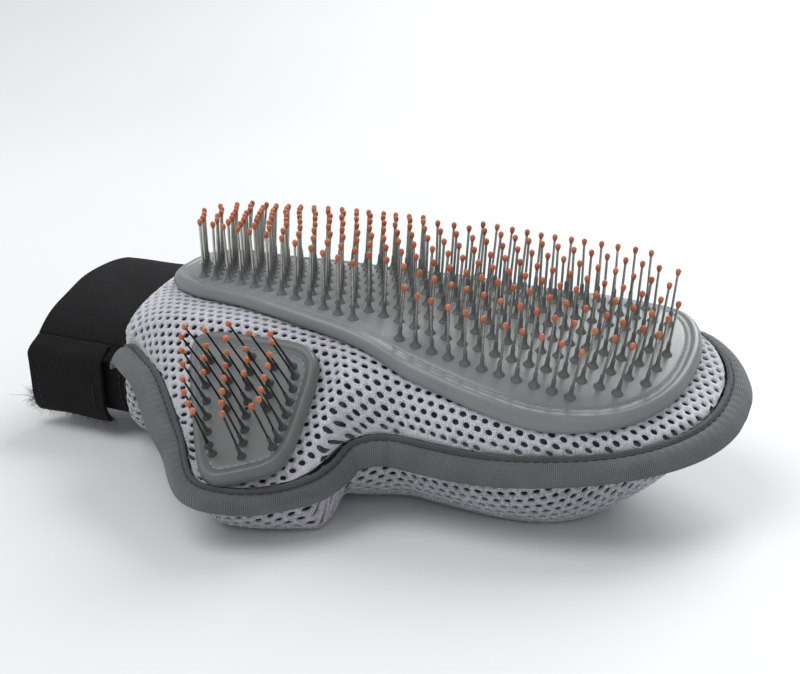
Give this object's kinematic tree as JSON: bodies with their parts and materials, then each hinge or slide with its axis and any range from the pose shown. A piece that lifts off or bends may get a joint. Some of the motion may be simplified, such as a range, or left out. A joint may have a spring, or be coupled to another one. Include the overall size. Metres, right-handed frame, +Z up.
{
  "type": "pet grooming glove",
  "caption": "Padded mesh mitt with a thumb lobe, wire-pin brushing pads on the palm and thumb, taped edges and an elastic wrist strap.",
  "frame": {"origin": "centre of the box around the whole object in plan, at the surface it lies on", "axes": "+X from the wrist to the fingertips, +Y away from the thumb, +Z up, out of the palm towards the pin tips"},
  "size_m": [0.2576, 0.1528, 0.0839],
  "materials": {
    "air_mesh": "knitted spacer mesh with open oval holes",
    "binding_tape": "woven polyester tape, fine crosswise ribs",
    "binding_thread": "twisted sewing thread",
    "pad_rubber": "moulded soft rubber, satin",
    "thumb_rubber": "moulded soft rubber, satin",
    "felt": "dense needled felt",
    "pad_thread": "twisted sewing thread",
    "pin_steel": "drawn steel wire",
    "tip_plastic": "moulded bead, semi-gloss",
    "elastic": "ribbed woven elastic",
    "strap_thread": "twisted sewing thread",
    "hook_and_loop": "hook-and-loop pile"
  },
  "bodies": {
    "mitt": {"palm_fabric": "air_mesh", "back_fabric": "air_mesh", "edge_binding": "binding_tape", "binding_stitching": "binding_thread", "palm_pad": "pad_rubber", "palm_pad_felt": "felt", "palm_pad_stitching": "pad_thread", "palm_pins": "pin_steel", "palm_pin_tips": "tip_plastic", "wrist_strap": "elastic", "strap_stitching": "strap_thread", "loop_patch": "hook_and_loop", "loop_patch_stitching": "strap_thread"},
    "thumb": {"thumb_palm_fabric": "air_mesh", "thumb_back_fabric": "air_mesh", "thumb_binding": "binding_tape", "thumb_binding_stitching": "binding_thread", "thumb_pad": "thumb_rubber", "thumb_pad_felt": "felt", "thumb_pad_stitching": "pad_thread", "thumb_pins": "pin_steel", "thumb_pin_tips": "tip_plastic"},
    "strap_end": {"strap_tab": "elastic", "hook_patch": "hook_and_loop", "hook_patch_stitching": "strap_thread"}
  },
  "joints": [
    {"name": "thumb_flex", "type": "hinge", "parent": "mitt", "child": "thumb", "pos_m": [-0.02482, -0.02055, 0.056], "axis": [-1, 0, 0], "range_deg": [0, 25]},
    {"name": "strap_peel", "type": "hinge", "parent": "mitt", "child": "strap_end", "pos_m": [-0.11082, -0.00985, 0.0357], "axis": [-1, 0, 0], "range_deg": [0, 120]}
  ]
}
